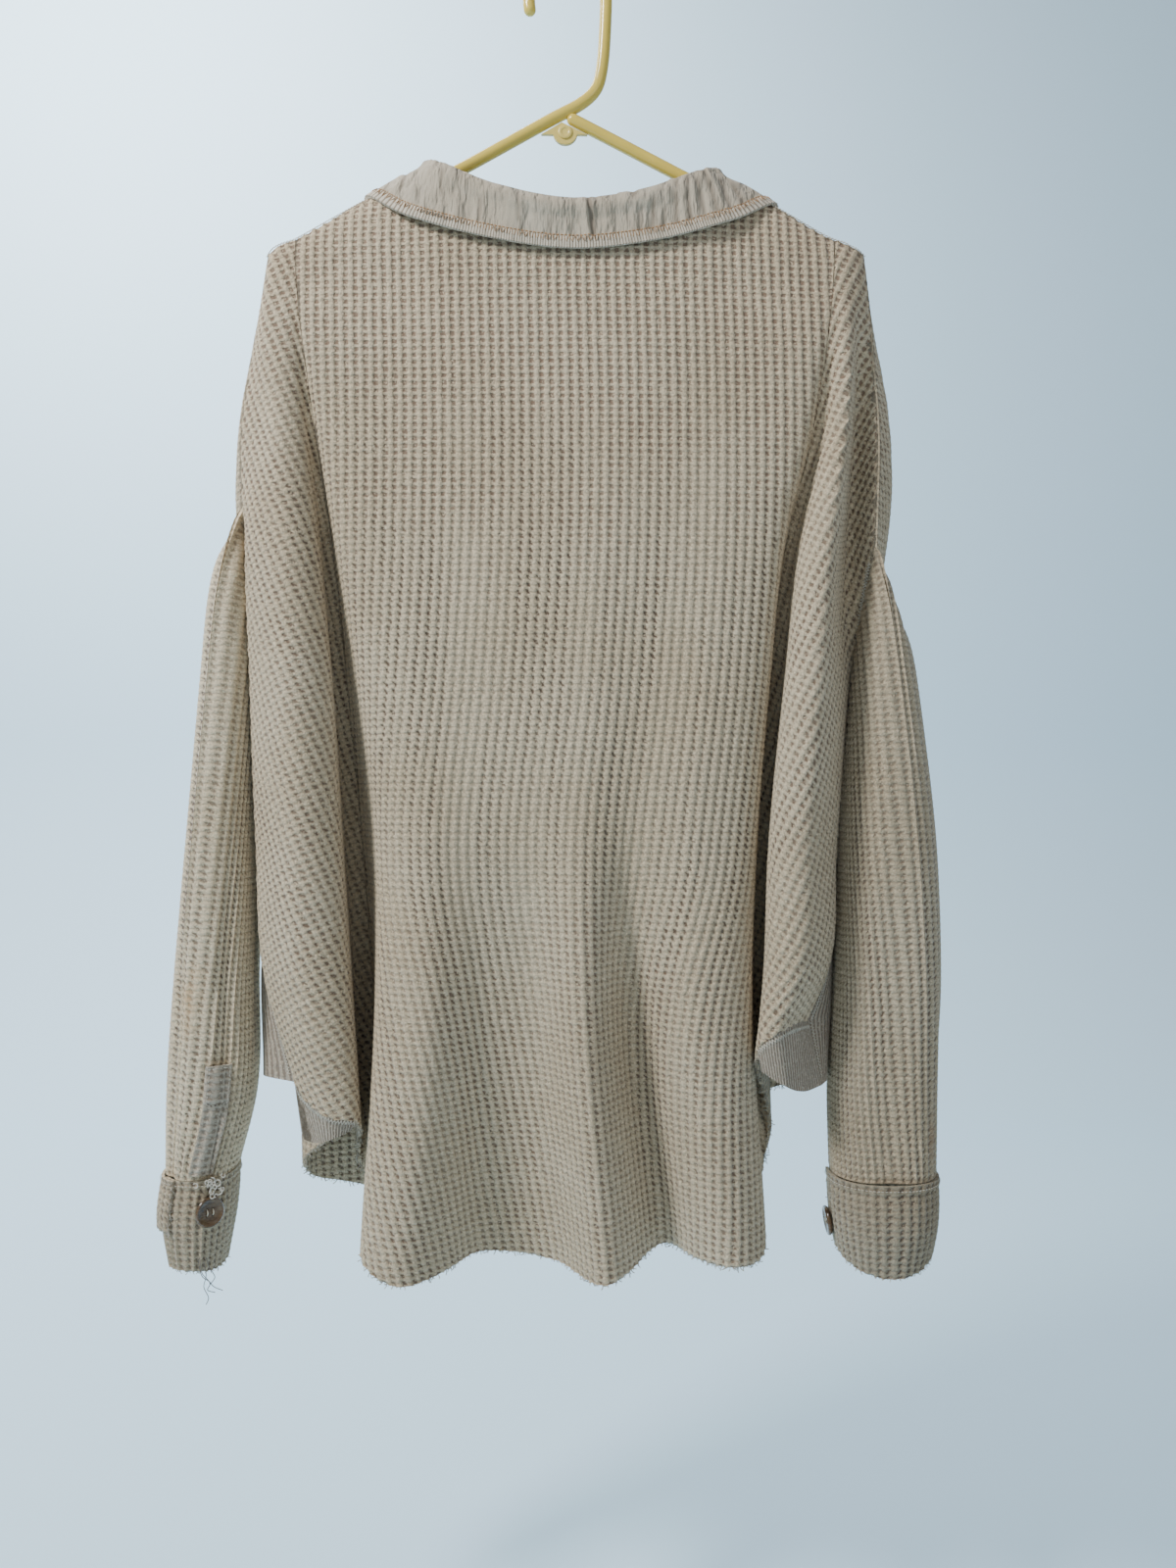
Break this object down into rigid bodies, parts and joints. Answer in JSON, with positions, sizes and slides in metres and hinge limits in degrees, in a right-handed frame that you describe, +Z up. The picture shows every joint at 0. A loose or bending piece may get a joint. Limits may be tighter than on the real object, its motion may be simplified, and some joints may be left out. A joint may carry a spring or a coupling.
{
  "type": "shirt jacket on a hanger",
  "caption": "Boxy waffle-knit shirt jacket hanging from a tubular hanger, with a fold-down collar, drop sleeves, button cuffs, rib side inserts and a raw wavy hem.",
  "frame": {"origin": "inner top of the hanger's hook, where it rests on a rail", "axes": "+Z up, +Y from the jacket's back to its front, +X to the right for a viewer who faces the back"},
  "size_m": [0.5569, 0.1137, 0.9266],
  "materials": {
    "waffle_knit": "chunky cotton waffle knit, matt",
    "rib": "fine cotton rib, matt",
    "collar_cloth": "smooth woven cotton, matt",
    "horn": "horn-like, satin",
    "hanger": "pale yellow, slightly translucent"
  },
  "bodies": {
    "root": {"back": "waffle_knit", "collar": "collar_cloth", "cuff_button_left": "horn", "cuff_button_right": "horn", "cuff_left": "waffle_knit", "cuff_right": "waffle_knit", "front_band": "waffle_knit", "front_button_1": "horn", "front_button_2": "horn", "front_button_3": "horn", "front_button_4": "horn", "front_button_5": "horn", "front_button_6": "horn", "front_left": "waffle_knit", "front_right": "waffle_knit", "godet_left": "rib", "godet_right": "rib", "gusset_left": "rib", "gusset_right": "rib", "hanger_arm": "hanger", "hanger_bar": "hanger", "hanger_hook": "hanger", "hanger_web": "hanger", "sleeve_left": "waffle_knit", "sleeve_placket_left": "rib", "sleeve_placket_right": "rib", "sleeve_right": "waffle_knit"}
  },
  "joints": []
}
